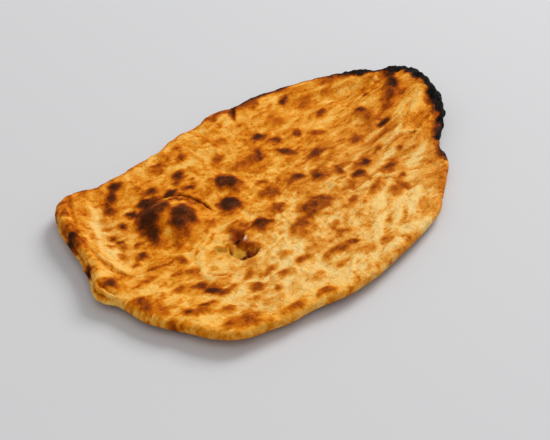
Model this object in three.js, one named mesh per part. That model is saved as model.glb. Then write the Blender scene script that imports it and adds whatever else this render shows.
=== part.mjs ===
// Naan: one flatbread, stretched long by hand and baked against a hot oven wall.
//
// Units are millimetres. +X runs along the length to the burnt point, +Y runs across, +Z is up.
// The origin is the middle of the bread's box in plan, on the surface that the bread rests on.
//
// The bread is one closed skin. Rings of points shrink from the rim to the middle, once over the
// crust and once over the underside, and the rings of the rounded rim join the two.

import * as THREE from "three";

// Overall size in plan.
const LENGTH = 312;
const WIDTH = 194;

// Thickness of the baked dough.
const SHEET_THICKNESS = 6.5;
const RIM_THICKNESS = 7.5;
const LIP_THICKNESS = 11;
const RIM_BEAD_WIDTH = 24;

// How far each side curls up off the resting surface.
const POINT_LIFT = 10;
const LIP_LIFT = 4.5;
const FAR_SIDE_LIFT = 2;
const NEAR_SIDE_LIFT = 4.5;

// Pleats that run out of the pinched point, and soft waves over the crust.
const PLEAT_HEIGHT = 1.2;
const PLEAT_ANGLE = 0.3;
const WAVE_HEIGHT = 0.7;
const WAVE_LENGTH = 46;

// Blisters raised by steam (positive height) and the torn hollow (negative height).
const SWELLINGS = [
  { x: -75, y: 30, radius: 27, height: 8 },
  { x: -25, y: 34, radius: 11, height: 2.5 },
  { x: -40, y: 15, radius: 10, height: 2.5 },
  { x: -66, y: -21, radius: 13, height: -3 },
  { x: 92, y: -24, radius: 26, height: 2 },
  { x: -112, y: 52, radius: 26, height: -2 },
];

// How finely the skin is divided.
const AROUND = 120;
const CRUST_RINGS = 14;
const RIM_RINGS = 7;
const UNDERSIDE_RINGS = 6;

// The rim in plan, counter-clockwise from the burnt point.
const OUTLINE = [
  // blunt top of the burnt point and the step behind it
  [156, 21], [155, 32], [149, 38], [138, 44], [133, 51],
  // far side, long and nearly straight
  [121, 62], [95, 79], [67, 89], [38, 92], [22, 97], [7, 94], [-18, 95], [-34, 91], [-86, 90],
  // folded lip at the blunt end, down to its small corner tab
  [-103, 94], [-118, 90], [-127, 81], [-142, 37], [-150, 18], [-156, 9], [-151, -8],
  // round end and near side
  [-150, -27], [-138, -53], [-134, -64], [-123, -78], [-103, -84], [-90, -88], [-76, -89],
  [-50, -96], [-25, -97], [2, -94], [29, -90], [48, -85], [61, -77],
  // notch where the near side was pulled out into the point
  [97, -52], [102, -41], [131, -22], [144, -6], [154, 13],
];

/** 0 before start, 1 past end, and a smooth rise between them. */
function ramp(value, start, end) {
  return THREE.MathUtils.smoothstep(value, start, end);
}

/** A round swelling that is 1 at its middle and dies away at its radius. */
function dome(x, y, swelling) {
  const reach = Math.hypot(x - swelling.x, y - swelling.y) / swelling.radius;
  return reach < 1 ? (1 - reach * reach) ** 2 : 0;
}

/** Evenly spaced points on the rim, stretched to the exact length and width about the middle. */
function rimPoints() {
  const corners = OUTLINE.map(([x, y]) => new THREE.Vector3(x, y, 0));
  const curve = new THREE.CatmullRomCurve3(corners, true, "centripetal");
  const points = curve.getSpacedPoints(AROUND).slice(0, AROUND);
  const box = new THREE.Box3().setFromPoints(points);
  const middle = box.getCenter(new THREE.Vector3());
  const size = box.getSize(new THREE.Vector3());
  const stretch = new THREE.Vector3(LENGTH / size.x, WIDTH / size.y, 1);
  return points.map((point) => point.sub(middle).multiply(stretch));
}

/** Height of the underside: flat under the middle, curling up towards every side. */
function undersideHeight(x, y) {
  const atPoint = POINT_LIFT * ramp(x, 68, 158);
  const atLip = LIP_LIFT * ramp(-x, 82, 148);
  const atFarSide = FAR_SIDE_LIFT * ramp(y, 53, 98);
  const atNearSide = NEAR_SIDE_LIFT * ramp(-y, 42, 96);
  return atPoint + atLip + atFarSide + atNearSide;
}

/** Thickness at the rim: thickest along the folded lip of the blunt end. */
function rimThickness(x, y) {
  const alongLip = ramp(-x, 88, 132) * ramp(y, -12, 24);
  return THREE.MathUtils.lerp(RIM_THICKNESS, LIP_THICKNESS, alongLip);
}

/** Thickness of the dough at a point that lies this far in from the rim. */
function thickness(x, y, fromRim) {
  const inside = ramp(fromRim, 0, RIM_BEAD_WIDTH);
  const plain = THREE.MathUtils.lerp(rimThickness(x, y), SHEET_THICKNESS, inside);
  const swollen = SWELLINGS.reduce((sum, swelling) => sum + swelling.height * dome(x, y, swelling), 0);
  return plain + swollen + crustWaves(x, y) * inside;
}

/** Ridges of the crust: pleats that fan out of the point, and long waves elsewhere. */
function crustWaves(x, y) {
  const fan = Math.atan2(y - 22, 190 - x);
  const pleats = PLEAT_HEIGHT * Math.cos((2 * Math.PI * fan) / PLEAT_ANGLE) * ramp(x, 60, 130);
  const phase = (2 * Math.PI) / WAVE_LENGTH;
  const waves = WAVE_HEIGHT * Math.sin(phase * (0.35 * x + y)) * Math.cos(phase * 0.5 * x);
  return pleats + waves;
}

/** The skin's rings from the middle of the crust, out round the rim, to the middle of the underside. */
function buildRings(rim) {
  const rings = [];
  for (let k = 1; k <= CRUST_RINGS; k += 1) {
    rings.push(rim.map((edge) => sheetPoint(edge, k / CRUST_RINGS, 1)));
  }
  for (let k = 1; k <= RIM_RINGS; k += 1) {
    const turn = Math.PI / 2 - (Math.PI * k) / (RIM_RINGS + 1);
    rings.push(rim.map((edge) => rimPoint(edge, turn)));
  }
  for (let k = UNDERSIDE_RINGS; k >= 1; k -= 1) {
    rings.push(rim.map((edge) => sheetPoint(edge, k / UNDERSIDE_RINGS, 0)));
  }
  return rings;
}

/** A point of the crust (side 1) or the underside (side 0), at a share of the way out to the rim's bead. */
function sheetPoint(edge, share, side) {
  const reach = edge.length();
  const bead = rimThickness(edge.x, edge.y) / 2;
  const out = (share * (reach - bead)) / reach;
  const x = edge.x * out;
  const y = edge.y * out;
  const z = undersideHeight(x, y) + side * thickness(x, y, reach * (1 - out) - bead);
  return new THREE.Vector3(x, y, z);
}

/** A point on the rim's half-round, turned up from its outermost line. */
function rimPoint(edge, turn) {
  const bead = rimThickness(edge.x, edge.y) / 2;
  const out = 1 - (bead * (1 - Math.cos(turn))) / edge.length();
  const x = edge.x * out;
  const y = edge.y * out;
  return new THREE.Vector3(x, y, undersideHeight(x, y) + bead * (1 + Math.sin(turn)));
}

/** Closed skin: a fan at the middle of each face, and a band of triangles between each two rings. */
function buildSkin(rings) {
  const crustMiddle = new THREE.Vector3(0, 0, undersideHeight(0, 0) + thickness(0, 0, WIDTH / 2));
  const undersideMiddle = new THREE.Vector3(0, 0, undersideHeight(0, 0));
  const points = [crustMiddle, ...rings.flat(), undersideMiddle];
  const last = points.length - 1;
  const at = (ring, step) => 1 + ring * AROUND + (step % AROUND);
  const faces = [];
  for (let step = 0; step < AROUND; step += 1) {
    faces.push(0, at(0, step), at(0, step + 1));
    for (let ring = 0; ring < rings.length - 1; ring += 1) {
      faces.push(at(ring, step), at(ring + 1, step), at(ring + 1, step + 1));
      faces.push(at(ring, step), at(ring + 1, step + 1), at(ring, step + 1));
    }
    faces.push(last, at(rings.length - 1, step + 1), at(rings.length - 1, step));
  }
  const skin = new THREE.BufferGeometry().setFromPoints(points);
  skin.setIndex(faces);
  skin.computeVertexNormals();
  return skin;
}

const toastedCrust = new THREE.MeshStandardMaterial({ color: 0xd08a3e, roughness: 0.62, metalness: 0 });

const naan = new THREE.Mesh(buildSkin(buildRings(rimPoints())), toastedCrust);
naan.name = "naan";

const bread = new THREE.Group();
bread.add(naan);

export default bread;
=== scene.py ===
import math
import bmesh
import bpy
import numpy as np
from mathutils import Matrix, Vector, kdtree


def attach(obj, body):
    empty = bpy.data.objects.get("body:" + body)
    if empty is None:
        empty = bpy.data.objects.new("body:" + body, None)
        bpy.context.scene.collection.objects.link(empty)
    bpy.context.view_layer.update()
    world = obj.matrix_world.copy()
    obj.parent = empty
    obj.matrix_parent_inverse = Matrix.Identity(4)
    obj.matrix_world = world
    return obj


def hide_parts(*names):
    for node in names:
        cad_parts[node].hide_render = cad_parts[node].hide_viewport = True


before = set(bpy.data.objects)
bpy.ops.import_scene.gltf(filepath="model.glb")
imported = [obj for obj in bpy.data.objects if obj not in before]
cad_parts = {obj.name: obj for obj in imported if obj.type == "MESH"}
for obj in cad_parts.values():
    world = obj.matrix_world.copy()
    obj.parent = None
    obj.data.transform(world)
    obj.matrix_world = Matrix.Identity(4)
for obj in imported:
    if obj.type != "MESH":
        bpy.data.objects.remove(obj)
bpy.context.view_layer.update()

from types import SimpleNamespace

mm = 0.001


def ramp(value, start, end):
    # 0 before start, 1 past end, smooth between
    t = np.clip((value - start) / (end - start), 0.0, 1.0)
    return t * t * (3.0 - 2.0 * t)


def lumps(x, y, size, seed):
    # smooth random field from -1 to 1, with lumps about size wide
    cells = 256
    table = np.random.RandomState(seed).uniform(-1.0, 1.0, (cells, cells))
    u, v = x / size, y / size
    i, j = np.floor(u).astype(int), np.floor(v).astype(int)
    fu, fv = ramp(u - i, 0.0, 1.0), ramp(v - j, 0.0, 1.0)
    i, j = i % cells, j % cells
    iNext, jNext = (i + 1) % cells, (j + 1) % cells
    low = table[i, j] * (1 - fu) + table[iNext, j] * fu
    high = table[i, jNext] * (1 - fu) + table[iNext, jNext] * fu
    return low * (1 - fv) + high * fv


def ridge(field):
    # thin crests of 1 where a field from -1 to 1 passes through 0
    return np.clip(1.0 - 3.2 * np.abs(field), 0.0, 1.0)


def spot(x, y, mark):
    # distance from a mark's middle, 1 on its edge: (x, y, half length, half width, turn in degrees)
    turn = math.radians(mark[4])
    dx, dy = x - mark[0], y - mark[1]
    along = (dx * math.cos(turn) + dy * math.sin(turn)) / mark[2]
    across = (dy * math.cos(turn) - dx * math.sin(turn)) / mark[3]
    return np.hypot(along, across)


def alongPath(x, y, points):
    # distance in plan from a line through points, how far along it (0 to 1), and which side (1 or -1)
    best = np.full(x.shape, 1e9)
    share = np.zeros(x.shape)
    side = np.ones(x.shape)
    steps = len(points) - 1
    for k in range(steps):
        ax, ay = points[k]
        bx, by = points[k + 1]
        wide = (bx - ax) ** 2 + (by - ay) ** 2
        t = np.clip(((x - ax) * (bx - ax) + (y - ay) * (by - ay)) / wide, 0.0, 1.0)
        far = np.hypot(x - ax - t * (bx - ax), y - ay - t * (by - ay))
        closer = far < best
        best = np.where(closer, far, best)
        share = np.where(closer, (k + t) / steps, share)
        side = np.where(closer, np.sign((bx - ax) * (y - ay) - (by - ay) * (x - ax)), side)
    return best, share, side


def storeFloat(mesh, name, values):
    layer = mesh.attributes.get(name) or mesh.attributes.new(name, "FLOAT", "POINT")
    layer.data.foreach_set("value", np.asarray(values, np.float32))


def storeVector(mesh, name, values):
    layer = mesh.attributes.get(name) or mesh.attributes.new(name, "FLOAT_VECTOR", "POINT")
    layer.data.foreach_set("vector", np.asarray(values, np.float32).ravel())


def bakeDown(piece):
    # the evaluated object becomes a plain mesh, and its modifiers go
    graph = bpy.context.evaluated_depsgraph_get()
    mesh = bpy.data.meshes.new_from_object(piece.evaluated_get(graph), preserve_all_data_layers=True,
                                           depsgraph=graph)
    old = piece.data
    piece.modifiers.clear()
    piece.data = mesh
    bpy.data.meshes.remove(old)


def setOrLink(tree, socket, value):
    # a value is a number or another node's output
    if isinstance(value, (int, float)):
        socket.default_value = value
    else:
        tree.links.new(value, socket)


def addMaths(tree, operation, values, clamp=False):
    node = tree.nodes.new("ShaderNodeMath")
    node.operation = operation
    node.use_clamp = clamp
    for socket, value in zip(node.inputs, values):
        setOrLink(tree, socket, value)
    return node.outputs[0]


def addNoise(tree, vector, scale, detail, rough):
    # noise from -0.5 to 0.5
    node = tree.nodes.new("ShaderNodeTexNoise")
    tree.links.new(vector, node.inputs["Vector"])
    setOrLink(tree, node.inputs["Scale"], scale)
    node.inputs["Detail"].default_value = detail
    node.inputs["Roughness"].default_value = rough
    return addMaths(tree, "SUBTRACT", (node.outputs[0], 0.5))


def addSmoothRange(tree, value, low, high, atLow, atHigh):
    # atLow below low, atHigh above high, smooth between
    node = tree.nodes.new("ShaderNodeMapRange")
    node.interpolation_type = "SMOOTHSTEP"
    tree.links.new(value, node.inputs["Value"])
    node.inputs["From Min"].default_value, node.inputs["From Max"].default_value = low, high
    node.inputs["To Min"].default_value, node.inputs["To Max"].default_value = atLow, atHigh
    return node.outputs[0]


dough = {
    "voxel": 1.08 * mm,
    "mergeWithin": 0.001 * mm,
}


def makeBlank():
    # a merged copy of the solid, rounded off and cut into an even mesh
    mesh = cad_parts["naan"].data.copy()
    mesh.materials.clear()
    work = bmesh.new()
    work.from_mesh(mesh)
    bmesh.ops.remove_doubles(work, verts=work.verts, dist=dough["mergeWithin"])
    work.to_mesh(mesh)
    work.free()
    for layer in [a.name for a in mesh.attributes if not a.is_internal and not a.is_required]:
        mesh.attributes.remove(mesh.attributes[layer])
    blank = bpy.data.objects.new("naanBread", mesh)
    bpy.context.scene.collection.objects.link(blank)
    rounded = blank.modifiers.new("rounded", "SUBSURF")
    rounded.levels = rounded.render_levels = 1
    even = blank.modifiers.new("even", "REMESH")
    even.mode = "VOXEL"
    even.voxel_size = dough["voxel"]
    even.adaptivity = 0.0
    bakeDown(blank)
    print("blank:", len(blank.data.vertices), "points")
    return blank


# Shape of the crust. Every distance here is in millimetres.

crust = {
    "rimJitter": 0.5,
    "tipJitter": 1.5,
    "blister": {"x": -74, "y": 28, "radius": 24.8, "wobble": 0.9, "height": 3.0, "slope": (8, 25.5)},
    # bearings are in degrees round the blister, 0 towards the point
    "blisterCrease": {"depth": 2.6, "width": 1.4, "starts": (-30, 5), "ends": (112, 150)},
    "innerCrease": {"depth": 0.9, "width": 0.9, "inset": 6.5, "starts": (5, 30), "ends": (75, 100)},
    "blisterLip": {"height": 1.1, "width": 1.9, "inset": 3.2, "brownWidth": 2.2},
    "pleats": {"focus": (182, 20), "height": 1.7, "wide": 15.0, "narrow": 34.0, "wander": 5.0},
    "lipFold": {"depth": 2.0, "width": 1.5, "puff": 1.2, "reach": 19},
    "lipSeam": {"depth": 1.8, "width": 0.6, "height": 5.6, "bulge": 1.5},
    "lipLift": {"height": 4.5, "span": (82, 148)},     # as the solid lifts it off the table
    "valley": {"depth": 1.6, "width": 10, "lineHeight": 0.8, "lineWidth": 11},
    "wrinkle": 0.75,
    "streak": 0.85,
    "crinkle": 0.7,
    "scorch": {"height": 0.42, "softest": 4.2, "halo": 4.5, "haloTone": 0.10},
    "tear": {"depth": 2.6, "edge": 0.9, "floor": 1.8, "glintHeight": 0.9},
    "burnt": {"spread": 9.0, "height": 0.8, "singedReach": 6.0},
}

# how much each feature browns the crust, makes it paler, or darkens it as painted shade
# painted shade: darker in the inner blister crease, lip crease, valley, crinkles, lip seam and beside pale
# folds
browningAndShade = {
    # the blister's far crease is made darker, the second entry as dark as a scorch mark
    "blisterCrease": 0.25,
    "blisterCreaseDark": 0.88,
    "innerCrease": 0.35,
    "blisterLip": 0.12,
    "palePleat": 0.17,
    "lipCrease": 0.20,
    "lipPuff": 0.06,
    "valley": 0.04,
    "paleValleyLine": 0.13,
    "wave": 0.10,
    "paleStreak": 0.13,
    "crinkle": 0.08,
    "foldFootShadow": 0.14,
    "paleFold": 0.20,
    "lipSeam": 0.36,
    "paleUnderLip": 0.26,
    "farRim": 0.26,
    "nearRim": 0.13,
    "paleNearRim": 0.10,
}

# scorch marks: x, y, half length, half width, turn in degrees, how dark from 0 to 1
scorchMarks = [
    # on and round the big blister
    (-94, 28, 6.4, 7.2, 0, 0.93), (-73.5, 22.5, 12, 9.6, 20, 0.84), (-88, 37, 11.5, 8.2, 46, 0.88),
    (-80, 39, 10, 7.0, 4, 0.84), (-64, 41, 9, 3.0, -42, 0.70), (-85, 46, 9, 4, 32, 0.64),
    (-74, 48, 8, 3, -6, 0.66), (-76, 56.5, 8.0, 5.0, 18, 1.0), (-63, 62, 5, 3.8, 0, 0.92),
    (-88, 52, 4.4, 3.0, 10, 1.0), (-58, 52, 7.2, 3.2, -4, 1.0), (-45, 48, 4.8, 3.2, -20, 0.90),
    (-42, 62, 8.5, 4.4, 42, 0.92), (-79, 81, 6, 3.6, 38, 0.92), (-95, 67, 9, 3.4, 74, 0.76),
    (-86, 75, 10, 4, 42, 0.76),
    # the two round ones beside it
    (-24, 35.5, 9.6, 9.2, 0, 0.90), (-23, 28, 9, 6, 0, 0.48), (-38.5, 16, 9.6, 8.8, 0, 0.90),
    # blunt end and its lip
    (-136, 54, 8, 4.6, 66, 1.0), (-122, 77, 3.4, 2.0, 60, 0.66), (-116, 85, 3, 2, 20, 0.70),
    (-146, 27, 3.4, 2, 60, 0.92), (-146, 7, 6.8, 5.4, 20, 0.84), (-147, 34, 2.4, 1.6, 60, 0.9),
    (-101.5, 47.5, 2.8, 4.4, 8, 0.94), (-113, 45, 4, 5, 0, 0.42), (-113, 38, 2, 2.4, 0, 0.66),
    (-120, 38, 2.4, 3, 0, 0.46), (-114, 31, 3, 3.2, 0, 0.58), (-120, 24, 3, 3.4, 0, 0.48),
    (-106, 27, 2, 1.8, 0, 0.62), (-109, 55, 2.2, 3.2, 0, 0.46), (-122, 52, 2, 4, -20, 0.44),
    (-104, 62, 4, 3, 40, 0.40), (-112, 17, 4.0, 3.2, 0, 0.82), (-144, -19, 6, 9, 0, 0.66),
    (-144, -16, 3.4, 4, 0, 0.78), (-128, -40, 5.4, 4.6, 0, 0.86), (-118, -45, 8, 5, -6, 0.82),
    (-140, -29, 5, 6, 20, 0.46), (-106, -28, 5.2, 2.6, -20, 0.86), (-104, -35, 5.4, 3.0, -35, 0.88),
    (-98, -2, 4.8, 4.0, 0, 0.72), (-108, -10, 3.2, 2.8, 0, 0.70), (-100, -14, 3.8, 3.4, 0, 0.62),
    (-121, 12, 3, 3, 0, 0.60), (-126, -4, 5, 3, 20, 0.56), (-118, -22, 5, 3, -10, 0.56),
    # near side
    (-84, -53, 5.6, 3.4, 20, 0.64), (-127, 84, 1.8, 2.4, 60, 0.92), (-111, -56, 5, 3.4, 0, 0.54),
    (-63, -55, 5.4, 3.4, 0, 0.62), (-45, -55, 6.2, 3.4, 0, 0.64), (-67, -46, 6.0, 3.2, 0, 0.56),
    (-26, -64, 11, 4.6, 4, 0.62), (-13, -66, 7, 3.0, -52, 0.78), (-114, -70, 13, 8, -25, 0.50),
    (-104, -66, 6, 4, 0, 0.46), (-85, -84, 9, 4, 0, 0.52), (-9, -52, 4.6, 3.6, 0, 0.58),
    (-62, -87, 8, 3.0, -8, 0.54), (20, -67, 3.4, 2.2, 30, 0.50), (-78, -40, 7, 3, 10, 0.56),
    (-50, -43, 6, 3, -10, 0.52), (-99, -42, 6, 2.6, 5, 0.62), (9, -89, 2.8, 4.2, 12, 0.58),
    (-12, -80, 5, 2.6, 0, 0.48), (0, -80, 4, 2.4, 0, 0.50), (-92, -60, 5, 2.6, -5, 0.54),
    (-76, -62, 4, 2.2, 0, 0.54), (-35, -76, 4, 2, 10, 0.48),
    # middle
    (-39, -11, 9, 5.8, -15, 0.84), (-47, -5, 4, 3, -30, 0.56), (-27, -37, 5, 7, 0, 0.52),
    (-57.5, -0.5, 4, 2.4, -20, 0.62), (-67.5, -24, 2.6, 2.0, 0, 1.0), (-63.5, -24.5, 2.0, 2.4, 0, 1.0),
    (-60, -12, 3.6, 2, 40, 0.95), (-57, -8, 5, 3, 10, 0.70), (-72, -9, 4.5, 3, -40, 0.36),
    (-1, -24, 15, 10, -5, 0.60), (-7, -22, 8, 6, 0, 0.74), (6, -21, 7, 5, 10, 0.70),
    (-22, -31, 14, 6, 18, 0.56), (-12, 8, 11, 6, 15, 0.54), (-8, 6, 5, 3, 15, 0.66),
    (-17, -7, 6, 4, 0, 0.60), (12, 5.5, 5.8, 4.6, -20, 0.88), (22, -4, 5.8, 5.0, 0, 0.88),
    (37, -9, 5.5, 3.4, 70, 0.80), (55, -15, 11, 5, 0, 0.66), (56, -15.5, 7, 4.2, 0, 1.0),
    (43.5, -21, 5.0, 3.2, -10, 0.86), (64, -29, 10, 3.6, 4, 0.74), (40, -38, 10, 3.4, 20, 0.54),
    (47, -49, 7.5, 6.6, 0, 0.48), (55, -49, 2.2, 5.0, 0, 0.62), (31, -25, 8, 3, 0, 0.58),
    (-6, -45, 4, 2.4, 20, 0.56), (18, -36, 5, 2.6, 20, 0.56), (62, -42, 4, 2.2, 30, 0.62),
    # far side and towards the point
    (26, 55, 5.6, 4.6, 0, 0.94), (34, 45, 4.2, 4.2, 0, 0.76), (13, 41, 5.4, 3.4, 66, 0.86),
    (29, 31, 8, 3.2, -50, 0.76), (40, 15, 8, 4, -6, 0.84), (-7, 19, 3.6, 2.8, 0, 0.74),
    (71, 73, 6.2, 4.2, 25, 0.95), (-28, 73, 4.2, 3.2, 0, 0.64), (60, 31, 4.6, 3.4, 0, 0.66),
    (97, 25, 3.8, 4.8, 0, 0.86), (94, 20, 7, 8, 0, 0.46), (77, 42.5, 4.4, 2.2, 12, 0.66),
    (51, 40, 3.6, 3, 0, 0.62), (98, 4.5, 6, 3.4, 4, 1.0), (130.5, 25, 9, 6.2, 32, 1.0),
    (138, 31, 6, 4, 38, 0.95), (118, 19, 12, 4.8, 26, 0.74), (121, 59, 5.5, 4.5, 0, 0.90),
    (109, -30, 4, 3.4, 0, 0.78), (96, -47, 7.5, 4.5, 60, 0.68), (72, -11, 4, 2, 0, 0.72),
    (82, -22, 4, 2.2, 0, 0.72), (2, 41, 13, 6, 4, 0.46), (58, 91, 17, 5, -9, 1.0),
    (37, 90, 5, 3, 30, 0.70), (31, 84.5, 5, 1.9, 50, 0.80), (82, 86, 13, 3.8, -15, 0.96),
    (104, 76, 15, 3.4, -27, 0.92), (53, 85, 7, 4, 60, 0.66), (20, 92, 8, 2.6, 0, 0.60),
    (112, 33, 3, 2, 24, 0.60), (78, 60, 9, 4, 25, 0.44), (50, 60, 5, 6, 0, 0.44),
    (95, -5, 4, 2.2, 0, 0.44), (108, -10, 8, 3, 10, 0.42), (70, 8, 8, 3, -4, 0.58),
    (-10, 58, 6, 3, 10, 0.50), (100, 58, 8, 3, 25, 0.42), (4, 70, 7, 4, 0, 0.40),
    (-48, 76, 8, 3, 8, 0.46),
]

# broad toasting of the crust and some painted light: x, y, half length, half width, turn, how much darker
# (or paler, below 0)
toastAndPaintedLightAreas = [
    (-70, 74, 60, 18, 0, 0.02), (-55, 28, 8, 14, 0, 0.16), (-50, 8, 8, 8, 0, 0.06),
    # (-75, -54) is painted light: paler where the near side faces away from the light
    (-88, 11, 15, 9, -6, 0.13), (-75, -54, 58, 24, 0, -0.19), (-10, 14, 60, 30, -10, 0.05),
    (120, 60, 40, 10, -36, 0.10), (70, 8, 44, 22, 10, 0.08), (-72, 30, 22, 22, 0, 0.05),
    (-112, 56, 30, 9, 62, -0.24), (-124, 22, 24, 8, 84, -0.20), (-62, 0, 16, 5, 30, -0.24),
    (-84, -3, 22, 4, -8, -0.26), (30, -62, 54, 15, 28, -0.14), (66, 79, 18, 6, -14, -0.18),
    (24, 79, 12, 5, 12, -0.12), (36, 42, 30, 24, 0, 0.10), (112, 64, 22, 9, -32, 0.22),
    (148, 34, 8, 6, 0, 0.10), (0, 84, 30, 14, 0, 0.06), (30, -4, 26, 14, 0, 0.05),
    (46, -56, 26, 14, 30, 0.12), (68, -71, 14, 8, 40, 0.12), (80, -63, 24, 4, 35, 0.16),
    (-70, -33, 9, 6, 0, 0.10), (-73, -11, 8, 6, 0, 0.08), (-20, 10, 16, 12, 0, 0.06),
    (-52, -10, 12, 8, 0, 0.12), (96, 50, 16, 9, -30, -0.14), (120, 2, 18, 9, 30, -0.08),
    (143, 10, 9, 9, 0, -0.14), (-118, -56, 34, 20, -30, -0.12), (-28, -72, 34, 12, 0, -0.08),
    (-50, 87, 44, 6, 0, -0.10), (-144, 22, 9, 17, 20, -0.08), (-142, -8, 14, 14, 0, -0.07),
    (-124, 0, 12, 6, 0, -0.08), (72, 86, 18, 6, -14, 0.22), (70, 66, 16, 8, 0, 0.14),
    (-108, 66, 14, 5, 55, -0.12), (-64, -44, 30, 8, 0, -0.06), (-106, -72, 26, 10, -22, 0.12),
    (-50, -80, 44, 9, -6, -0.16), (-42, -42, 24, 8, 22, -0.16), (80, -40, 28, 7, 16, -0.14),
    (-84, -18, 9, 10, 0, -0.20), (-89, -21, 4, 3.4, 0, 0.22), (-58, -20, 12, 12, 0, 0.12),
    (0, -88, 50, 5, 4, -0.16), (-20, -12, 60, 22, -4, -0.02), (40, -30, 18, 9, 0, -0.12),
    (24, 10, 15, 9, 0, -0.14), (70, 10, 12, 9, 0, 0.08), (82, 30, 18, 9, 0, 0.15),
    (90, 50, 10, 9, 0, -0.14), (-50, 50, 10, 9, 0, -0.15), (-30, 70, 12, 10, 0, -0.16),
    (-31, -30, 11, 10, 0, -0.17), (-30, 30, 10, 9, 0, -0.09), (-44, -88, 22, 6, 0, -0.18),
    (10, -50, 12, 9, 0, -0.08), (-2, -62, 20, 14, 0, -0.10), (50, 90, 34, 8, 0, 0.28),
    (-50, 90, 12, 6, 0, 0.14), (-88, 90, 10, 6, 0, 0.10), (70, 70, 11, 8, 0, 0.12),
    (10, 70, 12, 9, 0, 0.08), (144, 26, 7, 7, 0, 0.14), (128, 2, 24, 10, 10, -0.08),
    # (-150, 4) is painted light: paler on the rim's side where it is shaded
    (-150, 4, 8, 26, 0, -0.18), (-130, -12, 10, 9, 0, -0.15), (-88, -30, 12, 10, 0, -0.13),
    (-90, -10, 10, 8, 0, -0.06), (-80, -70, 20, 9, 0, -0.05), (-104, 30, 8, 24, 0, -0.04),
    (20, 60, 50, 16, 4, 0.03), (114, -18, 24, 12, 30, -0.05), (129, 34, 8, 6, 30, -0.10),
    (-90, 54, 9, 9, 0, -0.08), (-110, 30, 9, 9, 0, -0.08), (122, 46, 8, 8, 0, 0.02),
    (118, 52, 14, 9, -20, -0.02), (98, 52, 9, 5, 20, 0.08),
]

# the tear: sunken places, moist dark places and pale crumb, each x, y, half length, half width, turn
tearHollows = [(-65, -19, 6.6, 6.4, 0), (-63, -26, 7.6, 3.8, 5), (-58, -11, 6, 3.2, 18),
               (-73.5, -11, 5.6, 1.7, -58)]
tearMoist = [(-57.5, -8.5, 7.5, 4.8, 12), (-57.5, -19, 4.0, 6.5, 0), (-62.5, -26.5, 8.0, 3.8, 0)]
tearCrumb = [(-66, -19, 5.4, 5.0, 0), (-73.5, -11, 6.0, 2.2, -58)]
tearDark = [(-67.5, -24.5, 2.6, 1.3, 0), (-63.5, -25.2, 1.3, 1.8, 0), (-59.5, -12.2, 3.6, 1.4, 38),
            (-69, -16.5, 3.2, 0.8, 36), (-59.5, -27.5, 2.4, 1.2, 10)]
# a painted highlight on the tear: x, y, half length, half width, turn
tearGlint = (-55.1, -13.8, 2.1, 1.1, 38)
tearSurround = (-65, -20, 18, 18, 0)

# creases in the crust: depth, width, how much darker as painted shade in the groove, then the line that
# each follows
creases = [
    (1.3, 0.8, 0.45, [(-125, 6), (-116, 2), (-106, 0), (-98, 3)]),
    (1.0, 0.8, 0.22, [(76, -16), (90, -15), (98, -18), (103, -24)]),
    (1.1, 0.8, 0.50, [(-95, -19), (-94.5, -25), (-91, -29.5), (-86, -31)]),
    (0.8, 0.8, 0.25, [(49, -33), (54, -38), (57, -44)]),
    (0.8, 0.8, 0.20, [(-14, -75), (-4, -77), (4, -82)]),
    (0.8, 0.8, 0.12, [(24, 78), (31, 85), (38, 91)]),
    (1.0, 0.8, 0.45, [(-59, -14), (-51, -8), (-42, -9), (-33, -12)]),
    (1.0, 0.6, 0.60, [(-72, -18.5), (-69, -16.5), (-66, -13)]),
    (0.3, 1.6, 0.50, [(-66, 51.3), (-56.5, 45.6), (-51, 37.5), (-49.2, 28), (-51, 19)]),
    (1.2, 0.8, 0.40, [(-149, 16), (-151, 9), (-151, 2), (-149, -5)]),
    (0.8, 0.8, 0.25, [(-112, -30), (-102, -33), (-92, -38)]),
    (0.7, 0.8, 0.15, [(-118, -52), (-104, -54), (-90, -52)]),
    (0.7, 0.9, 0.15, [(18, -28), (32, -30), (46, -29), (60, -24)]),
    (0.7, 0.9, 0.15, [(-58, 62), (-40, 64), (-22, 62)]),
    (0.8, 0.9, 0.20, [(62, -6), (84, -4), (104, -8)]),
    (0.6, 0.8, 0.10, [(-50, -66), (-34, -71), (-18, -72)]),
]
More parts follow.
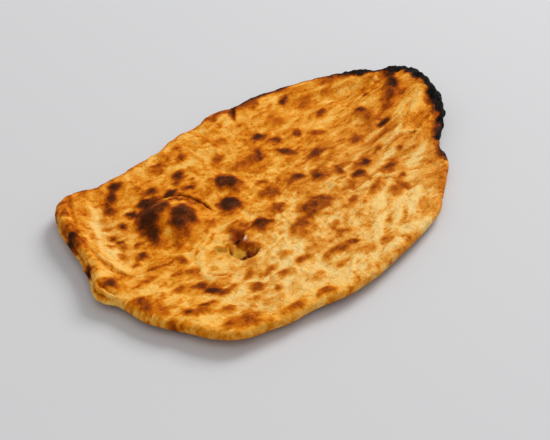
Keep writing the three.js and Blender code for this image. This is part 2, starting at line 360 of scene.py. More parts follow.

# thin pale folds that stand up from the crust, each with a painted shadow along one side: height, width,
# then the line
paleFolds = [
    (0.9, 2.5, [(-78, -4), (-86, -8), (-93, -15), (-97, -22), (-96, -29), (-88, -34)]),
    (0.5, 3.2, [(-6, -78), (10, -66), (26, -52), (38, -42)]),
    (0.4, 2.6, [(8, -80), (26, -68), (42, -57), (56, -48)]),
    (0.3, 2.6, [(26, -80), (44, -68), (62, -57)]),
    (0.9, 1.2, [(46, -30), (54, -36), (58, -43)]),
    (0.6, 1.1, [(80, -14), (92, -13), (100, -17), (105, -24)]),
    (0.8, 1.3, [(50, 8), (62, 7.5), (76, 7)]),
    (0.8, 1.4, [(20, -27), (34, -33), (46, -38)]),
    (0.7, 1.4, [(-8, -30), (6, -34), (16, -38)]),
    (0.9, 2.0, [(56, -26), (70, -21), (84, -20)]),
    (0.9, 1.3, [(90, 12), (112, 16), (132, 24)]),
    (0.9, 1.2, [(98, 34), (118, 36), (136, 42)]),
    (0.7, 1.1, [(82, 0), (104, 1), (124, 6)]),
    (1.0, 1.5, [(-104, 10), (-98, 4), (-90, -1), (-80, -1), (-70, 3), (-60, 10)]),
    (0.9, 0.9, [(-134, 36), (-134, 26), (-132, 14), (-128, 4), (-120, 0)]),
    (0.8, 1.2, [(-62, 2), (-50, 4), (-40, 2)]),
    (0.7, 1.1, [(-112, -24), (-100, -26), (-88, -24)]),
    (0.7, 1.1, [(64, -22), (80, -24), (94, -30)]),
    (0.4, 2.2, [(-22, -86), (-8, -80), (6, -70), (18, -60)]),
    (0.8, 1.4, [(-46, -90), (-34, -85), (-22, -77)]),
    (0.3, 2.2, [(10, -86), (26, -76), (40, -66), (54, -60)]),
    (0.3, 1.8, [(36, -46), (48, -54), (56, -62)]),
    (0.5, 1.6, [(70, -40), (82, -34), (94, -36)]),
    (0.8, 1.2, [(34, -8), (48, -10), (62, -6), (76, -8)]),
    (0.7, 1.2, [(-80, -52), (-66, -50), (-52, -46)]),
    (0.7, 1.2, [(0, 82), (14, 84), (26, 88)]),
]

# the fold of the lip, from its far corner to the small tab at its near end
lipFoldLine = [(-108, 93), (-113, 84), (-120, 72), (-127, 60), (-132, 49), (-135, 38), (-136, 26),
               (-134, 12), (-130, 2)]

# the pale valley behind the lip: the line that it follows, and the place that it colours
valleyLine = [(-94, 84), (-106, 66), (-116, 46), (-122, 26), (-121, 12)]
valleyPlace = (-114, 45, 40, 16, 64)

# the burnt edge of the point: x, y, how far in it reaches
burntEdge = [
    (112, 67, 1.2), (121, 62, 4), (131, 53, 8), (137, 45, 7), (144, 41, 7), (151, 36, 9), (156, 28, 9),
    (157, 19, 7), (154, 11, 6), (149, 3, 6), (144, -5, 9), (137, -14, 9), (128, -23, 7), (118, -31, 4),
    (110, -36, 2), (104, -41, 1.6),
]


def farFromRim(x, y, normals):
    # distance in plan from the nearest point that faces sideways
    rim = np.flatnonzero(np.abs(normals[:, 2]) < 0.35)[::3]
    tree = kdtree.KDTree(len(rim))
    for k, index in enumerate(rim):
        tree.insert((x[index], y[index], 0.0), k)
    tree.balance()
    return np.array([tree.find((a, b, 0.0))[2] for a, b in zip(x, y)])


def grainFlow(x, y):
    # coordinates that follow the pull of the dough: along it, and across it
    squeeze = 130.0 / np.clip(205.0 - x, 65.0, 130.0)
    bow = 0.0022 * (x + 50.0) ** 2 * ramp(-y, 0.0, 50.0) * (1 - ramp(x, 50.0, 95.0))
    across = (y - 20.0) * squeeze - bow
    along = x - 0.25 * np.maximum(x + 30.0, 0.0) * ramp(x, 10.0, 110.0)
    return along, across


def readCrust(blank):
    mesh = blank.data
    count = len(mesh.vertices)
    flat = np.empty(count * 3, np.float32)
    mesh.vertices.foreach_get("co", flat)
    place = flat.reshape(-1, 3).astype(float) / mm
    mesh.vertex_normals.foreach_get("vector", flat)
    normals = flat.reshape(-1, 3).astype(float)
    x, y, z = place.T.copy()
    c = SimpleNamespace(mesh=mesh, place=place, normals=normals, x=x, y=y, z=z)
    c.fromRim = farFromRim(x, y, normals)
    c.top = ramp(normals[:, 2], -0.25, 0.45)
    c.side = ramp(1 - np.abs(normals[:, 2]), 0.3, 0.8)
    c.wobbleX = x + 1.5 * lumps(x, y, 9.0, 11) + 0.8 * lumps(x, y, 3.2, 12)
    c.wobbleY = y + 1.5 * lumps(x, y, 9.0, 13) + 0.8 * lumps(x, y, 3.2, 14)
    c.gentleX = x + 1.3 * lumps(x, y, 14.0, 15)
    c.gentleY = y + 1.3 * lumps(x, y, 14.0, 16)
    c.along, c.across = grainFlow(x, y)
    for name in ("rise", "tone", "bake", "char", "singed", "wet", "crumb", "glint"):
        setattr(c, name, np.zeros(count))
    return c


def raiseBlister(c):
    # the big blister: a crisp crease round its far side, a thin lip inside that, and a short inner crease
    b, crease = crust["blister"], crust["blisterCrease"]
    inner, lip = crust["innerCrease"], crust["blisterLip"]
    reach = np.hypot(c.x - b["x"], c.y - b["y"]) + b["wobble"] * lumps(c.x, c.y, 8.0, 19)
    bearing = np.degrees(np.arctan2(c.y - b["y"], c.x - b["x"]))
    c.rise += b["height"] * (1 - ramp(reach, *b["slope"]))
    beyond = reach - b["radius"]
    farSide = ramp(bearing, *crease["starts"]) * (1 - ramp(bearing, *crease["ends"]))
    creased = np.exp(-(beyond / crease["width"]) ** 2) * farSide
    folded = np.exp(-((beyond + inner["inset"]) / inner["width"]) ** 2) * ramp(bearing, *inner["starts"])
    folded *= 1 - ramp(bearing, *inner["ends"])
    c.rise += lip["height"] * farSide * np.exp(-((beyond + lip["inset"]) / lip["width"]) ** 2)
    c.rise -= crease["depth"] * creased + inner["depth"] * folded
    # the far crease is made darker; the inner crease's darkening is painted shade
    c.bake = np.maximum(c.bake, browningAndShade["blisterCreaseDark"] * creased)
    c.tone += browningAndShade["blisterCrease"] * creased + browningAndShade["innerCrease"] * folded
    browned = np.exp(-((beyond + lip["inset"]) / lip["brownWidth"]) ** 2)
    c.tone += browningAndShade["blisterLip"] * farSide * browned


def pinchPleats(c):
    # pleats that fan out of the pinched point: pale on their backs, brown between
    p = crust["pleats"]
    fx, fy = p["focus"]
    fan = np.degrees(np.arctan2(c.wobbleY - fy, fx - c.wobbleX)) + p["wander"] * lumps(c.x, c.y, 30.0, 21)
    wide = np.sin(np.radians(fan * p["wide"]))
    narrow = np.sin(np.radians(fan * p["narrow"] + 40))
    pleat = wide * 0.55 + narrow * 0.45
    share = ramp(c.x, 55, 125) * ramp(c.fromRim, 1, 9)
    c.rise += p["height"] * pleat * share
    c.tone -= browningAndShade["palePleat"] * pleat * share


def foldLip(c):
    # the puffed fold of the blunt end, the crease inside it, and the pale valley behind
    fold, v = crust["lipFold"], crust["valley"]
    far, share, _ = alongPath(c.wobbleX, c.wobbleY, lipFoldLine)
    taper = ramp(share, 0.0, 0.12) * (1 - ramp(share, 0.86, 1.0))
    inLip = (c.fromRim + far < fold["reach"]) & (c.x < -100) & (c.y > 0)
    crease = np.exp(-(far / fold["width"]) ** 2) * taper
    c.rise -= fold["depth"] * crease
    # painted shade darkens the crease inside the lip
    c.tone += browningAndShade["lipCrease"] * crease
    puff = inLip * (1 - ramp(c.fromRim, 4, 10)) * taper
    c.rise += fold["puff"] * puff
    c.tone += browningAndShade["lipPuff"] * puff
    behind, alongValley, _ = alongPath(c.x, c.y, valleyLine)
    c.rise -= v["depth"] * np.exp(-(behind / v["width"]) ** 2) * ramp(c.fromRim, 6, 16)
    # which side of the valley's straight middle, so that its thin lines don't mirror
    side = np.sign(c.x - c.y * 0.5 + 139)
    lines = ridge(lumps(alongValley * 30, behind * side + 40, 3.4, 71))
    lines *= np.exp(-(behind / v["lineWidth"]) ** 2) * ramp(c.fromRim, 5, 10)
    c.rise += v["lineHeight"] * lines
    # the valley is painted a little darker as shade; its thin lines are paler
    c.tone += browningAndShade["valley"] * (behind < 12) - browningAndShade["paleValleyLine"] * lines


def tearHole(c):
    # torn hollow: ragged sunken crumb with turned-up, moist edges
    t = crust["tear"]
    x = c.x + 1.1 * lumps(c.x, c.y, 2.8, 32)
    y = c.y + 1.1 * lumps(c.x, c.y, 2.8, 33)
    ragged = lumps(c.x, c.y, 1.7, 34)
    hole = np.full(c.x.shape, 9.0)
    for mark in tearHollows:
        inner = min(mark[2], mark[3])
        hole = np.minimum(hole, (spot(x, y, mark) - 1) * inner)
    hollow = 1 - ramp(hole, -1.6, 0.4)
    c.rise -= t["depth"] * hollow * (0.8 + 0.6 * lumps(c.x, c.y, 3.0, 31))
    c.rise += t["edge"] * np.exp(-((hole - 1.3) / 1.2) ** 2)
    for mark in tearMoist:
        c.wet = np.maximum(c.wet, 0.86 * (1 - ramp(spot(x, y, mark) + 0.25 * ragged, 0.35, 1.3)))
    for mark in tearCrumb:
        c.crumb = np.maximum(c.crumb, 1 - ramp(spot(x, y, mark) + 0.2 * ragged, 0.5, 1.15))
    for mark in tearDark:
        c.char = np.maximum(c.char, 0.85 * (1 - ramp(spot(x, y, mark), 0.5, 1.4)))
    # painted highlight: a pale glint colour on a small raised spot of the tear
    c.glint = 1 - ramp(spot(c.x, c.y, tearGlint) + 0.3 * ragged, 0.5, 1.3)
    c.rise += t["glintHeight"] * c.glint


def scorchCrust(c):
    # scorch marks stand a little proud and darken from a soft edge to their middle
    s = crust["scorch"]
    torn = lumps(c.x, c.y, 5.0, 81) + 0.6 * lumps(c.x, c.y, 2.6, 82)
    for mark in scorchMarks:
        inner = min(mark[2], mark[3])
        strength = mark[5]
        reach = spot(c.wobbleX, c.wobbleY, mark)
        beyond = (reach - 1.0) * inner + 1.1 * torn
        body = 1 - ramp(beyond, -min(s["softest"], 0.9 * inner), 2.0)
        halo = 1 - ramp(beyond, -1.0, s["halo"])
        c.bake = np.maximum(c.bake, strength * body)
        c.tone += s["haloTone"] * max(strength - 0.5, 0.0) * halo
        c.rise += s["height"] * min(inner / 4.0, 1.4) * (1 - ramp(reach, 0.45, 1.25))
    # toasting, and painted light where a patch is paler to offset shade
    for area in toastAndPaintedLightAreas:
        c.tone += area[5] * (1 - ramp(spot(c.wobbleX, c.wobbleY, area), 0.25, 1.15))


def wrinkleCrust(c):
    # long soft wrinkles, pale streaks, and thin creases and folds that the hands left, with painted shade
    # in creases and beside folds
    plain = 1 - 0.7 * ramp(c.x, 90, 130)
    wide = lumps(c.along * 0.7, c.across, 9.5, 72)
    narrow = lumps(c.along * 0.75, c.across, 5.6, 73)
    wave = wide * 0.55 + narrow * 0.45
    c.rise += crust["wrinkle"] * wave * plain
    c.tone += browningAndShade["wave"] * wave
    streak = ridge(lumps(c.along * 0.40, c.across, 6.0, 74) + 0.3 * lumps(c.x, c.y, 4.0, 78))
    where = ramp(lumps(c.x, c.y, 30.0, 75) + 0.4 * ramp(-c.y, 20, 60) - 0.15, -0.1, 0.5)
    c.rise += crust["streak"] * streak * where
    c.tone -= browningAndShade["paleStreak"] * streak * where
    line = ridge(lumps(c.along * 0.7, c.across, 5.0, 76)) ** 2
    line *= ramp(lumps(c.x, c.y, 17.0, 77), -0.1, 0.5)
    c.rise -= crust["crinkle"] * line
    # painted shade darkens the thin crinkle grooves
    c.tone += browningAndShade["crinkle"] * line
    for depth, width, grooveShade, path in creases:
        far, share, _ = alongPath(c.gentleX, c.gentleY, path)
        taper = ramp(share, 0.0, 0.25) * (1 - ramp(share, 0.75, 1.0))
        groove = taper * np.exp(-(far / width) ** 2)
        c.rise -= depth * groove
        # painted shade darkens each groove
        c.tone += grooveShade * groove
        c.rise += 0.5 * depth * taper * np.exp(-((far - 2.4 * width) / (1.4 * width)) ** 2)
    for height, width, path in paleFolds:
        far, share, side = alongPath(c.gentleX, c.gentleY, path)
        taper = ramp(share, 0.0, 0.2) * (1 - ramp(share, 0.8, 1.0))
        fold = taper * np.exp(-(far / width) ** 2)
        # painted shadow: along one side of each fold the crust dips a little and is painted darker
        footDipAndShadow = taper * np.exp(-((far * side + 1.7 * width) / (0.55 * width)) ** 2)
        c.rise += height * (fold - 0.45 * footDipAndShadow)
        c.tone += browningAndShade["foldFootShadow"] * height * footDipAndShadow - browningAndShade["paleFold"] * fold


def burnPoint(c):
    # the charred edge of the point, ragged on its inner side
    b = crust["burnt"]
    width = np.zeros(c.x.shape)
    total = np.zeros(c.x.shape)
    for ex, ey, inward in burntEdge:
        near = np.exp(-((c.x - ex) ** 2 + (c.y - ey) ** 2) / b["spread"] ** 2)
        width += near * inward
        total += near
    width = np.where(total > 0.02, width / np.maximum(total, 1e-6), 0.0)
    ragged = width + 2.8 * lumps(c.x, c.y, 5.0, 41) + 1.7 * lumps(c.x, c.y, 2.2, 42)
    burnt = ramp(ragged - c.fromRim, -1.6, 2.2) * ramp(width, 0.4, 1.6)
    c.char = np.maximum(c.char, burnt)
    c.singed = ramp(ragged - c.fromRim, -b["singedReach"], 0.8) * ramp(width, 0.4, 2.0)
    c.rise += b["height"] * burnt * lumps(c.x, c.y, 3.0, 43)
    # and a thin scorched line along the far rim
    line = (1 - ramp(c.fromRim, 0.8, 4.2)) * ramp(c.x, 30, 50) * ramp(c.y, 30, 60) * c.top
    c.singed = np.maximum(c.singed, line * (1.0 + 0.5 * lumps(c.x, c.y, 7.0, 44)))


def roughenRim(c):
    # small irregularities of the rim in plan, and the seam under the folded lip
    jitter = crust["rimJitter"] + crust["tipJitter"] * ramp(c.x, 105, 135)
    outward = jitter * c.side * (lumps(c.x, c.y, 6.0, 51) + 0.6 * lumps(c.x, c.y, 2.6, 52))
    s, lift = crust["lipSeam"], crust["lipLift"]
    lipShare = ramp(-c.x, 110, 124) * ramp(c.y, -6, 2) * ramp(c.side, 0.0, 0.4)
    height = c.z - lift["height"] * ramp(-c.x, *lift["span"]) - s["height"] - 0.8 * lumps(c.x, c.y, 9.0, 53)
    seam = lipShare * np.exp(-(height / s["width"]) ** 2)
    under = lipShare * (1 - ramp(height, -1.8, -0.5))
    outward += s["bulge"] * under * ramp(height, -6.0, -3.0) - s["depth"] * seam
    plan = np.hypot(c.normals[:, 0], c.normals[:, 1]) + 1e-6
    c.place[:, 0] += outward * c.normals[:, 0] / plan
    c.place[:, 1] += outward * c.normals[:, 1] / plan
    # painted shade darkens the seam's groove; the crust below it is paler
    c.tone += browningAndShade["lipSeam"] * seam - browningAndShade["paleUnderLip"] * under
    # the far rim is browned all along, the near one only in places
    edge = 1 - ramp(c.fromRim, 0.5, 4.0)
    c.tone += browningAndShade["farRim"] * edge * ramp(c.y, 30, 60) * c.top * (1 - 0.8 * ramp(-c.x, 96, 118))
    patchy = ramp(lumps(c.x, c.y, 15.0, 61), 0.0, 0.5) * ramp(-c.y, 0, 50)
    c.tone += browningAndShade["nearRim"] * (1 - ramp(c.fromRim, 2, 9)) * patchy
    roundEnd = ramp(-c.y, 40, 70) * ramp(c.x, -110, -80)
    c.tone -= browningAndShade["paleNearRim"] * (1 - ramp(c.fromRim, 1, 5)) * (1 - patchy) * roundEnd


underside = {
    "spots": 70,
    "spotSize": (1.6, 6.5),
    "spotDarkness": (0.25, 0.85),
    "dentDepth": 0.55,
    "seed": 5,
}


def bakeUnderside(c):
    # the side that was stuck to the oven wall: flatter and more even, with scorch spots of its own
    below = 1 - ramp(c.normals[:, 2], -0.85, -0.35)
    draw = np.random.RandomState(underside["seed"])
    spots = np.zeros(c.x.shape)
    for k in range(underside["spots"]):
        size = draw.uniform(*underside["spotSize"])
        mark = (draw.uniform(-145, 145), draw.uniform(-88, 88), 1.4 * size, size, draw.uniform(-40, 40))
        dark = draw.uniform(*underside["spotDarkness"])
        spots = np.maximum(spots, dark * (1 - ramp(spot(c.wobbleX, c.wobbleY, mark), 0.2, 1.25)))
    c.bake = c.bake * (1 - below) + spots * below
    c.tone = c.tone * (1 - below) + below * (0.03 + 0.12 * lumps(c.x, c.y, 26.0, 91))
    c.char = np.where(c.x < 60, c.char * (1 - below), c.char)
    for name in ("wet", "crumb", "glint"):
        setattr(c, name, getattr(c, name) * (1 - below))
    dents = ridge(lumps(c.x, c.y, 9.0, 92)) * 0.6 + ramp(lumps(c.x, c.y, 5.0, 93), 0.1, 0.8) * 0.4
    return underside["dentDepth"] * dents * below * (1 - ramp(-c.rise, 0.8, 1.8))


def shapeCrust(blank):
    c = readCrust(blank)
    raiseBlister(c)
    pinchPleats(c)
    foldLip(c)
    wrinkleCrust(c)
    scorchCrust(c)
    tearHole(c)
    burnPoint(c)
    roughenRim(c)
    dents = bakeUnderside(c)
    c.place[:, 2] += c.rise * c.top + dents
    # the tear never goes through to the underside
    torn = (c.top > 0.9) & (spot(c.x, c.y, tearSurround) < 1)
    c.place[:, 2] = np.where(torn, np.maximum(c.place[:, 2], crust["tear"]["floor"]), c.place[:, 2])
    c.mesh.vertices.foreach_set("co", (c.place * mm).astype(np.float32).ravel())
    c.mesh.update()
    # where the crust is tan, and where its rounded cells show most
    tan = ramp(-c.y + 0.25 * c.x, -30, 30) * (1 - ramp(c.x, 85, 120)) * ramp(c.x, -125, -95)
    valleyHue = 1 - ramp(spot(c.x, c.y, valleyPlace), 0.4, 1.1)
    tan = np.maximum(tan, 0.8 * valleyHue * ramp(c.fromRim, 8, 14))
    tan *= 1 - (1 - ramp(c.fromRim, 6, 18)) * (1 - ramp(c.x, -70, -30))
    cells = 1 - 0.55 * ramp(c.x, -50, 0)
    storeVector(c.mesh, "grain", np.stack([c.along, c.across, c.z], 1) * mm)
    for name, values in (("top", c.top), ("bake", c.bake), ("tone", c.tone), ("tan", tan),
                         ("char", c.char), ("singed", c.singed), ("wet", c.wet * c.top),
                         ("crumb", c.crumb * c.top), ("glint", c.glint * c.top), ("cells", cells)):
        storeFloat(c.mesh, name, values)
    print("crust shaped")


# the relief that the tree adds; each of these is one of its inputs
relief = {
    "Wrinkle Height": 1.0 * mm,
    "Wrinkle Scale": 60.0,
    "Bubble Height": 1.2 * mm,
    "Bubble Scale": 95.0,
    "Pimple Height": 0.75 * mm,
    "Pimple Scale": 190.0,
    "Blister Spacing": 16.0 * mm,
    "Blister Radius": 5.5 * mm,
    "Blister Height": 0.8 * mm,
    "Grit Height": 0.35 * mm,
    "Grit Scale": 420.0,
    "Seed": 7,
}

# and what stays fixed inside the tree
reliefShape = {
    "drawnOut": (0.66, 1.0, 0.5),
    "bendScale": 130.0,
    "bendDetail": 1.5,
    "bendReach": 0.009,
    "bubbleSlope": (0.12, 0.75),
    "pimpleSlope": (0.10, 0.70),
    "bubbleSoftness": 0.35,
    "bubbleRarity": 1.6,
    "blisterDensity": 12000.0,
    "blisterSizes": (0.35, 1.0),
    "blisterCore": 0.25,
    "bubbleBrown": 0.7,
    "pimpleBrown": 0.45,
    "blisterBrown": 0.5,
}


def reliefTree(material):
    tree = bpy.data.node_groups.new("crustRelief", "GeometryNodeTree")
    face = tree.interface
    face.new_socket("Geometry", in_out="INPUT", socket_type="NodeSocketGeometry")
    for name, value in relief.items():
        kind = "NodeSocketInt" if name == "Seed" else "NodeSocketFloat"
        socket = face.new_socket(name, in_out="INPUT", socket_type=kind)
        socket.default_value = value
    face.new_socket("Geometry", in_out="OUTPUT", socket_type="NodeSocketGeometry")
    nodes, links = tree.nodes, tree.links
    entry = nodes.new("NodeGroupInput")
    leave = nodes.new("NodeGroupOutput")

    def attribute(name, kind="FLOAT"):
        node = nodes.new("GeometryNodeInputNamedAttribute")
        node.data_type = kind
        node.inputs["Name"].default_value = name
        return node.outputs["Attribute"]

    def maths(operation, *values):
        return addMaths(tree, operation, values)

    top = attribute("top")
    grain = attribute("grain", "FLOAT_VECTOR")
    stretch = nodes.new("ShaderNodeVectorMath")
    stretch.operation = "MULTIPLY"
    links.new(grain, stretch.inputs[0])
    stretch.inputs[1].default_value = reliefShape["drawnOut"]

    def bubbles(scale, slope):
        # rounded cells of the stretched dough: 1 on a cell's middle, 0 along its borders
        node = nodes.new("ShaderNodeTexVoronoi")
        node.feature = "SMOOTH_F1"
        links.new(bent.outputs[0], node.inputs["Vector"])
        links.new(scale, node.inputs["Scale"])
        node.inputs["Smoothness"].default_value = reliefShape["bubbleSoftness"]
        dome = addSmoothRange(tree, node.outputs["Distance"], *slope, 1.0, 0.0)
        apart = nodes.new("ShaderNodeSeparateXYZ")
        links.new(node.outputs["Color"], apart.inputs[0])
        return maths("MULTIPLY", dome, maths("POWER", apart.outputs["X"], reliefShape["bubbleRarity"]))

    bend = nodes.new("ShaderNodeTexNoise")
    links.new(stretch.outputs[0], bend.inputs["Vector"])
    bend.inputs["Scale"].default_value = reliefShape["bendScale"]
    bend.inputs["Detail"].default_value = reliefShape["bendDetail"]
    centred = nodes.new("ShaderNodeVectorMath")
    centred.operation = "SUBTRACT"
    links.new(bend.outputs["Color"], centred.inputs[0])
    centred.inputs[1].default_value = (0.5, 0.5, 0.5)
    bent = nodes.new("ShaderNodeVectorMath")
    bent.operation = "MULTIPLY_ADD"
    links.new(centred.outputs[0], bent.inputs[0])
    bent.inputs[1].default_value = [reliefShape["bendReach"]] * 3
    links.new(stretch.outputs[0], bent.inputs[2])
    bubble = bubbles(entry.outputs["Bubble Scale"], reliefShape["bubbleSlope"])
    pimple = bubbles(entry.outputs["Pimple Scale"], reliefShape["pimpleSlope"])
    wrinkle = addNoise(tree, stretch.outputs[0], entry.outputs["Wrinkle Scale"], 2.5, 0.55)
    wrinkle = maths("MULTIPLY", maths("MULTIPLY", wrinkle, 2.4), entry.outputs["Wrinkle Height"])

    # round blisters: points spread over the crust, and a soft dome round each
    spread = nodes.new("GeometryNodeDistributePointsOnFaces")
    spread.distribute_method = "POISSON"
    links.new(entry.outputs["Geometry"], spread.inputs["Mesh"])
    links.new(entry.outputs["Blister Spacing"], spread.inputs["Distance Min"])
    spread.inputs["Density Max"].default_value = reliefShape["blisterDensity"]
    links.new(maths("GREATER_THAN", top, 0.9), spread.inputs["Selection"])
    links.new(entry.outputs["Seed"], spread.inputs["Seed"])
    near = nodes.new("GeometryNodeSampleNearest")
    near.domain = "POINT"
    links.new(spread.outputs["Points"], near.inputs["Geometry"])
    position = nodes.new("GeometryNodeInputPosition")
    size = nodes.new("FunctionNodeRandomValue")
    size.data_type = "FLOAT"
    sizeEnds = [s for s in size.inputs if s.name in ("Min", "Max") and s.type == "VALUE"]
    for socket, value in zip(sizeEnds, reliefShape["blisterSizes"]):
        socket.default_value = value
    pickSize = nodes.new("GeometryNodeSampleIndex")
    pickSize.data_type = "FLOAT"
    links.new(spread.outputs["Points"], pickSize.inputs["Geometry"])
    links.new([o for o in size.outputs if o.type == "VALUE" and o.enabled][0], pickSize.inputs["Value"])
    links.new(near.outputs["Index"], pickSize.inputs["Index"])
    pickPlace = nodes.new("GeometryNodeSampleIndex")
    pickPlace.data_type = "FLOAT_VECTOR"
    links.new(spread.outputs["Points"], pickPlace.inputs["Geometry"])
    links.new(position.outputs[0], pickPlace.inputs["Value"])
    links.new(near.outputs["Index"], pickPlace.inputs["Index"])
    away = nodes.new("ShaderNodeVectorMath")
    away.operation = "DISTANCE"
    links.new(position.outputs[0], away.inputs[0])
    links.new(pickPlace.outputs["Value"], away.inputs[1])
    radius = maths("MULTIPLY", entry.outputs["Blister Radius"], pickSize.outputs["Value"])
    reach = maths("DIVIDE", away.outputs["Value"], radius)
    soft = addSmoothRange(tree, reach, reliefShape["blisterCore"], 1.0, 1.0, 0.0)
    swell = maths("MULTIPLY", soft, pickSize.outputs["Value"])
    swell = maths("MULTIPLY", swell, entry.outputs["Blister Height"])

    grit = addNoise(tree, position.outputs[0], entry.outputs["Grit Scale"], 2.0, 0.6)
    grit = maths("MULTIPLY", maths("MULTIPLY", grit, 2.0), entry.outputs["Grit Height"])

    height = maths("ADD", maths("ADD", wrinkle, swell), grit)
    height = maths("ADD", height, maths("MULTIPLY", bubble, entry.outputs["Bubble Height"]))
    height = maths("ADD", height, maths("MULTIPLY", pimple, entry.outputs["Pimple Height"]))
    height = maths("MULTIPLY", height, top)
    # what stands up is browned a little more
    browned = maths("ADD", maths("MULTIPLY", bubble, reliefShape["bubbleBrown"]),
                    maths("MULTIPLY", pimple, reliefShape["pimpleBrown"]))
    blister = maths("MULTIPLY", maths("POWER", soft, 1.5), reliefShape["blisterBrown"])
    browned = maths("ADD", browned, blister)
    lift = nodes.new("ShaderNodeCombineXYZ")
    links.new(height, lift.inputs["Z"])
    move = nodes.new("GeometryNodeSetPosition")
    links.new(entry.outputs["Geometry"], move.inputs["Geometry"])
    links.new(lift.outputs[0], move.inputs["Offset"])
    keep = nodes.new("GeometryNodeStoreNamedAttribute")
    keep.data_type = "FLOAT"
    keep.domain = "POINT"
    keep.inputs["Name"].default_value = "browned"
    links.new(move.outputs[0], keep.inputs["Geometry"])
    links.new(browned, [s for s in keep.inputs if s.name == "Value" and s.enabled][0])
    real = nodes.new("GeometryNodeRealizeInstances")
    links.new(keep.outputs[0], real.inputs[0])
    finish = nodes.new("GeometryNodeSetMaterial")
    finish.inputs["Material"].default_value = material
    links.new(real.outputs[0], finish.inputs["Geometry"])
    links.new(finish.outputs[0], leave.inputs[0])
    return tree


def addRelief(piece, material):
    # the tree runs once, and what it makes becomes the piece's own mesh
    tree = reliefTree(material)
    modifier = piece.modifiers.new("crustRelief", "NODES")
    modifier.node_group = tree
    for item in tree.interface.items_tree:
        if item.item_type == "SOCKET" and item.in_out == "INPUT" and item.name in relief:
            modifier[item.identifier] = relief[item.name]
    bakeDown(piece)
    print("relief:", len(piece.data.vertices), "points")


def shade(red, green, blue):
    # a colour given as 0 to 255 on screen, as the shader wants it
    return tuple(((c / 255 + 0.055) / 1.055) ** 2.4 for c in (red, green, blue))


bakedCrust = {
    "stops": (0.00, 0.10, 0.20, 0.31, 0.43, 0.54, 0.66, 0.77, 0.89, 1.00),
    "toasted": [  # orange side of the crust, from pale to nearly black
        shade(244, 188, 94), shade(240, 174, 74), shade(232, 158, 54), shade(220, 134, 26),
        shade(204, 112, 6), shade(182, 90, 0), shade(156, 70, 0), shade(122, 51, 2),
        shade(88, 37, 6), shade(54, 25, 8),
    ],
    "tan": [  # gentler side, from cream to brown
        shade(240, 200, 124), shade(234, 182, 98), shade(228, 160, 68), shade(216, 138, 42),
        shade(200, 115, 22), shade(180, 93, 8), shade(154, 72, 4), shade(126, 55, 4),
        shade(92, 39, 6), shade(56, 27, 8),
    ],
    "charcoal": shade(10, 8, 8),
    "crumb": shade(198, 142, 40),
    "moist": shade(136, 50, 6),
    "glint": shade(234, 200, 170),
    # scale, detail and roughness of each noise
    "mottle": (165.0, 2.0, 0.5),
    "patches": (42.0, 2.0, 0.5),
    "fine": (340.0, 2.0, 0.5),
    "speck": (700.0, 3.0, 0.6),
    "island": (105.0, 2.0, 0.55),
    "dash": (250.0, 1.0, 0.4),
    "islandEdge": (-0.06, 0.14),
    "dashEdge": (0.07, 0.19),
    "grainScale": (0.9, 1.05, 0.8),
    "dashScale": (0.62, 1.15, 0.8),
    "evenTone": 0.15,
    # how much each one browns the crust, in the order that they are added
    "toneShares": {"dash": 0.15, "mottle": 0.46, "patches": 0.44, "island": 0.13, "fine": 0.40,
                   "speck": 0.34, "relief": 0.42},
    "brownestTone": 0.70,    # short of a scorch mark
    "singedShare": 0.42,
    "roughness": 0.60,
    "charRoughness": -0.12,
    "bumpStrength": 0.9,
    "bumpDistance": 1.0 * mm,
    "specular": 0.05,
    "warmGloss": (1.0, 0.78, 0.5),
}


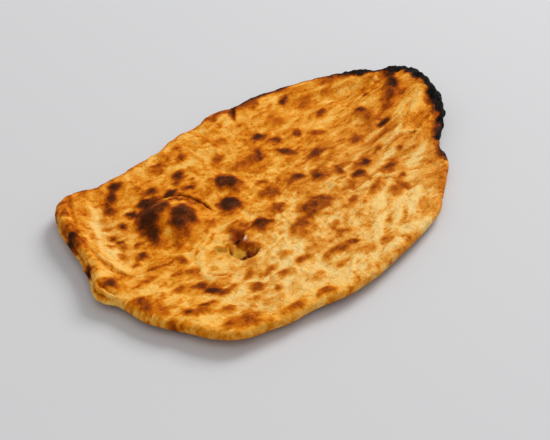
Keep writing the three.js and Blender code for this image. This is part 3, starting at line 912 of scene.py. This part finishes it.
def crustMaterial():
    material = bpy.data.materials.new("bakedCrust")
    material.use_nodes = True
    nodes, links = material.node_tree.nodes, material.node_tree.links
    nodes.clear()
    out = nodes.new("ShaderNodeOutputMaterial")
    shader = nodes.new("ShaderNodeBsdfPrincipled")
    links.new(shader.outputs[0], out.inputs[0])

    def attribute(name):
        node = nodes.new("ShaderNodeAttribute")
        node.attribute_name = name
        return node.outputs["Fac"]

    def maths(operation, *values, clamp=False):
        return addMaths(material.node_tree, operation, values, clamp)

    def plus(total, share, factor):
        return maths("MULTIPLY_ADD", share, factor, total)

    def noise(vector, name):
        return addNoise(material.node_tree, vector, *bakedCrust[name])

    def smoothStep(value, name):
        return addSmoothRange(material.node_tree, value, *bakedCrust[name], 0.0, 1.0)

    def stretched(vector, name):
        node = nodes.new("ShaderNodeMapping")
        links.new(vector, node.inputs["Vector"])
        node.inputs["Scale"].default_value = bakedCrust[name]
        return node.outputs[0]

    def colourRamp(amount, colours):
        node = nodes.new("ShaderNodeValToRGB")
        links.new(amount, node.inputs["Fac"])
        stops = node.color_ramp.elements
        while len(stops) > 1:
            stops.remove(stops[-1])
        for k, (at, colour) in enumerate(zip(bakedCrust["stops"], colours)):
            stop = stops[0] if k == 0 else stops.new(at)
            stop.position = at
            stop.color = (*colour, 1.0)
        return node.outputs[0]

    def blend(share, under, over):
        node = nodes.new("ShaderNodeMix")
        node.data_type = "RGBA"
        links.new(share, node.inputs["Factor"])
        sockets = [socket for socket in node.inputs if socket.type == "RGBA"]
        for socket, value in zip(sockets, (under, over)):
            if isinstance(value, tuple):
                socket.default_value = (*value, 1.0)
            else:
                links.new(value, socket)
        return [socket for socket in node.outputs if socket.type == "RGBA"][0]

    place = nodes.new("ShaderNodeTexCoord").outputs["Object"]
    grain = nodes.new("ShaderNodeAttribute")
    grain.attribute_name = "grain"
    pulled = stretched(grain.outputs["Vector"], "grainScale")
    mottle = noise(pulled, "mottle")
    patches = noise(pulled, "patches")
    fine = noise(pulled, "fine")
    speck = noise(place, "speck")
    layers = {
        "dash": smoothStep(noise(stretched(place, "dashScale"), "dash"), "dashEdge"),
        "mottle": mottle,
        "patches": patches,
        "island": smoothStep(noise(pulled, "island"), "islandEdge"),
        "fine": fine,
        "speck": speck,
        "relief": maths("MULTIPLY", attribute("browned"), attribute("cells")),
    }

    tone = maths("ADD", attribute("tone"), bakedCrust["evenTone"])
    for name, share in bakedCrust["toneShares"].items():
        tone = plus(tone, layers[name], share)
    tone = maths("MINIMUM", maths("MAXIMUM", tone, 0.0), bakedCrust["brownestTone"])
    tone = plus(tone, attribute("singed"), bakedCrust["singedShare"])
    # scorch marks cover the tone under them
    mark = maths("MULTIPLY", attribute("bake"), plus(plus(0.98, mottle, 0.55), speck, 0.35), clamp=True)
    clear = maths("SUBTRACT", 1.0, maths("MULTIPLY", mark, 0.92))
    tone = maths("MULTIPLY_ADD", tone, clear, mark, clamp=True)

    tan = maths("ADD", plus(-0.08, patches, 0.8), attribute("tan"), clamp=True)
    colour = blend(tan, colourRamp(tone, bakedCrust["toasted"]), colourRamp(tone, bakedCrust["tan"]))
    crumb = maths("MULTIPLY", attribute("crumb"), plus(1.1, speck, 1.6), clamp=True)
    colour = blend(crumb, colour, bakedCrust["crumb"])
    wet = maths("MULTIPLY", attribute("wet"), plus(1.0, speck, 1.2), clamp=True)
    colour = blend(wet, colour, bakedCrust["moist"])
    colour = blend(attribute("char"), colour, bakedCrust["charcoal"])
    # the painted highlight goes over everything
    colour = blend(attribute("glint"), colour, bakedCrust["glint"])
    links.new(colour, shader.inputs["Base Color"])

    rough = plus(bakedCrust["roughness"], mottle, 0.3)
    rough = plus(rough, attribute("char"), bakedCrust["charRoughness"])
    rough = maths("MINIMUM", rough, 1.0)
    links.new(rough, shader.inputs["Roughness"])
    shader.inputs["Specular IOR Level"].default_value = bakedCrust["specular"]
    shader.inputs["Specular Tint"].default_value = (*bakedCrust["warmGloss"], 1.0)

    bump = nodes.new("ShaderNodeBump")
    bump.inputs["Strength"].default_value = bakedCrust["bumpStrength"]
    bump.inputs["Distance"].default_value = bakedCrust["bumpDistance"]
    links.new(plus(plus(speck, mottle, 0.9), fine, 1.1), bump.inputs["Height"])
    links.new(bump.outputs[0], shader.inputs["Normal"])
    return material


studio = {
    "tableColour": (0.60, 0.60, 0.61),
    "tableSize": 6.0,
    "tableRoughness": 0.85,
    "tableSpecular": 0.1,
    "azimuth": -46.0,       # degrees, 0 looks along +Y
    "elevation": 38.6,
    "distance": 0.889,
    "lens": 92.5,
    "lookAt": (-27.1 * mm, -12.6 * mm, 4.0 * mm),
    "worldStrength": 0.46,
    "softboxes": [  # name, azimuth, elevation, distance, size, power
        ("softboxBehind", 96, 42, 3.0, 1.4, 68.0),
        ("softboxFront", -40, 60, 3.2, 2.4, 20.0),
    ],
}


def facing(azimuth, elevation):
    # unit vector from the bread towards someone standing at that azimuth and elevation
    a, e = math.radians(azimuth), math.radians(elevation)
    return Vector((math.sin(a) * math.cos(e), -math.cos(a) * math.cos(e), math.sin(e)))


def makeTable():
    half = studio["tableSize"] / 2
    mesh = bpy.data.meshes.new("table")
    mesh.from_pydata([(-half, -half, 0), (half, -half, 0), (half, half, 0), (-half, half, 0)], [],
                     [(0, 1, 2, 3)])
    table = bpy.data.objects.new("table", mesh)
    bpy.context.scene.collection.objects.link(table)
    paint = bpy.data.materials.new("paleTable")
    paint.use_nodes = True
    shader = paint.node_tree.nodes["Principled BSDF"]
    shader.inputs["Base Color"].default_value = (*studio["tableColour"], 1.0)
    shader.inputs["Roughness"].default_value = studio["tableRoughness"]
    shader.inputs["Specular IOR Level"].default_value = studio["tableSpecular"]
    mesh.materials.append(paint)


def makeLight(name, azimuth, elevation, distance, size, power):
    data = bpy.data.lights.new(name, "AREA")
    data.shape = "SQUARE"
    data.size = size
    data.energy = power
    light = bpy.data.objects.new(name, data)
    bpy.context.scene.collection.objects.link(light)
    towards = facing(azimuth, elevation)
    light.location = towards * distance
    light.rotation_mode = "QUATERNION"
    light.rotation_quaternion = (-towards).to_track_quat("-Z", "Y")


def makeStudio():
    scene = bpy.context.scene
    world = bpy.data.worlds.new("softRoom")
    world.use_nodes = True
    sky = world.node_tree.nodes["Background"]
    sky.inputs["Color"].default_value = (1.0, 1.0, 1.0, 1.0)
    sky.inputs["Strength"].default_value = studio["worldStrength"]
    scene.world = world
    scene.view_settings.view_transform = "Standard"
    makeTable()
    for softbox in studio["softboxes"]:
        makeLight(*softbox)
    camera = bpy.data.objects.new("camera", bpy.data.cameras.new("camera"))
    scene.collection.objects.link(camera)
    camera.data.sensor_width = 36.0
    camera.data.lens = studio["lens"]
    camera.data.clip_start, camera.data.clip_end = 0.01, 50.0
    towards = facing(studio["azimuth"], studio["elevation"])
    camera.rotation_mode = "QUATERNION"
    camera.location = Vector(studio["lookAt"]) + towards * studio["distance"]
    camera.rotation_quaternion = (-towards).to_track_quat("-Z", "Y")
    scene.camera = camera
    print("studio ready")


makeStudio()
bread = makeBlank()
shapeCrust(bread)
finish = crustMaterial()
addRelief(bread, finish)
bread.data.shade_smooth()
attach(bread, "root")
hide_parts("naan")
